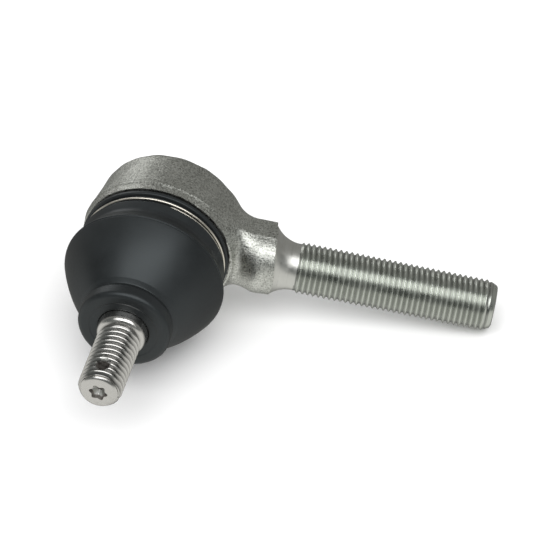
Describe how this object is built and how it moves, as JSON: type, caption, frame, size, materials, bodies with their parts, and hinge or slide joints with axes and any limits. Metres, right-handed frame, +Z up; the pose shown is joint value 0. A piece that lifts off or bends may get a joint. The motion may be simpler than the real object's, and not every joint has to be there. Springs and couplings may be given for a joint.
{
  "type": "tie rod end",
  "caption": "Steering ball joint: forged eye with a threaded shank leaning 7 degrees, a swivelling tapered ball stud with cotter hole, and a round rubber dust boot held by a spring wire clip.",
  "frame": {"origin": "on the ground, below the middle of the part's bounding box, as the joint lies on its side", "axes": "+Z up; the stud is level and points along -Y; the shank runs towards +X, leans 7 degrees back from the stud and dips until its tip touches the ground"},
  "size_m": [0.1142, 0.0804, 0.0444],
  "materials": {
    "forged_steel": "shot-blasted zinc-plated forging, turned and threaded shank",
    "polished_steel": "turned and rolled steel",
    "bearing_plastic": "natural acetal",
    "pressed_steel": "zinc-plated pressing",
    "spring_steel": "bright drawn spring wire and strip",
    "seal_rubber": "smooth black rubber",
    "boot_rubber": "semi-matte moulded black rubber"
  },
  "bodies": {
    "housing": {"housing": "forged_steel", "front_bearing_shell": "bearing_plastic", "rear_bearing_shell": "bearing_plastic", "pressure_plate": "pressed_steel", "preload_spring": "spring_steel", "end_cap": "pressed_steel", "cap_seal_ring": "seal_rubber", "boot_clip_ring": "spring_steel"},
    "boot_base": {"dust_boot": "boot_rubber"},
    "boot_neck": {"boot_lip_ring": "pressed_steel"},
    "stud": {"ball_stud": "polished_steel"}
  },
  "joints": [
    {"name": "tilt_direction", "type": "hinge", "parent": "housing", "child": "boot_base", "pos_m": [-0.03486, 0.0223, 0.0222], "axis": [0, -1, 0], "continuous": true},
    {"name": "stud_tilt", "type": "hinge", "parent": "boot_base", "child": "boot_neck", "pos_m": [-0.03486, 0.0223, 0.0222], "axis": [0, 0, 1], "range_deg": [-25, 25], "deforming": ["dust_boot"]},
    {"name": "stud_spin", "type": "hinge", "parent": "boot_neck", "child": "stud", "pos_m": [-0.03486, 0.0223, 0.0222], "axis": [0, -1, 0], "continuous": true}
  ]
}
